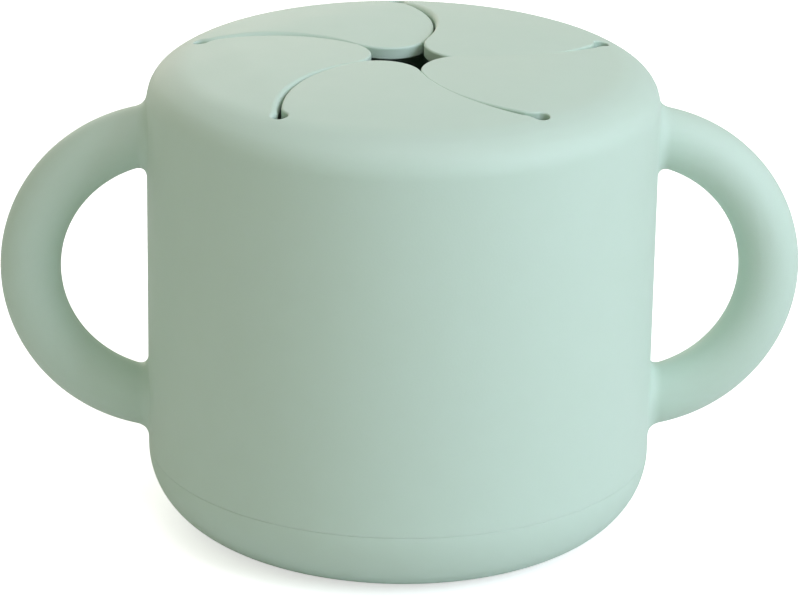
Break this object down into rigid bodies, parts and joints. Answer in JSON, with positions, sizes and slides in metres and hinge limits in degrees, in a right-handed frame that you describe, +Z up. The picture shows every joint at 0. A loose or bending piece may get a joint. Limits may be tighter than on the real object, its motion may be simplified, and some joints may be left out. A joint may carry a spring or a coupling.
{
  "type": "toddler snack container",
  "caption": "Two-handled toddler snack cup: a silicone cover with a whirl of soft petals in its domed top, pulled over a rigid inner cup.",
  "frame": {"origin": "on the floor under the middle of the round base, on the cup's axis", "axes": "+Z up along the cup's axis, +X along the line through both handles, -Y towards the side that the picture was taken from"},
  "size_m": [0.1404, 0.089, 0.0849],
  "materials": {
    "cover_silicone": "soft matte silicone",
    "cup_plastic": "fine satin"
  },
  "bodies": {
    "cup": {"inner_cup": "cup_plastic"},
    "cover": {"silicone_cover": "cover_silicone"},
    "petal_1": {"petal_1": "cover_silicone"},
    "petal_2": {"petal_2": "cover_silicone"},
    "petal_3": {"petal_3": "cover_silicone"},
    "petal_4": {"petal_4": "cover_silicone"},
    "petal_5": {"petal_5": "cover_silicone"}
  },
  "joints": [
    {"name": "cover_lift", "type": "slide", "parent": "cup", "child": "cover", "axis": [0, 0, 1], "range_m": [0, 0.07]},
    {"name": "petal_1_bend", "type": "hinge", "parent": "cover", "child": "petal_1", "pos_m": [-0.01587, 0.02185, 0.08273], "axis": [0.809, 0.5878, 0], "range_deg": [-20, 55], "stiffness_Nm_per_rad": 0.02},
    {"name": "petal_2_bend", "type": "hinge", "parent": "cover", "child": "petal_2", "pos_m": [-0.02568, -0.00834, 0.08273], "axis": [-0.309, 0.9511, 0], "range_deg": [-20, 55], "stiffness_Nm_per_rad": 0.02},
    {"name": "petal_3_bend", "type": "hinge", "parent": "cover", "child": "petal_3", "pos_m": [0, -0.027, 0.08273], "axis": [-1, 0, 0], "range_deg": [-20, 55], "stiffness_Nm_per_rad": 0.02},
    {"name": "petal_4_bend", "type": "hinge", "parent": "cover", "child": "petal_4", "pos_m": [0.02568, -0.00834, 0.08273], "axis": [-0.309, -0.9511, 0], "range_deg": [-20, 55], "stiffness_Nm_per_rad": 0.02},
    {"name": "petal_5_bend", "type": "hinge", "parent": "cover", "child": "petal_5", "pos_m": [0.01587, 0.02185, 0.08273], "axis": [0.809, -0.5878, 0], "range_deg": [-20, 55], "stiffness_Nm_per_rad": 0.02}
  ]
}
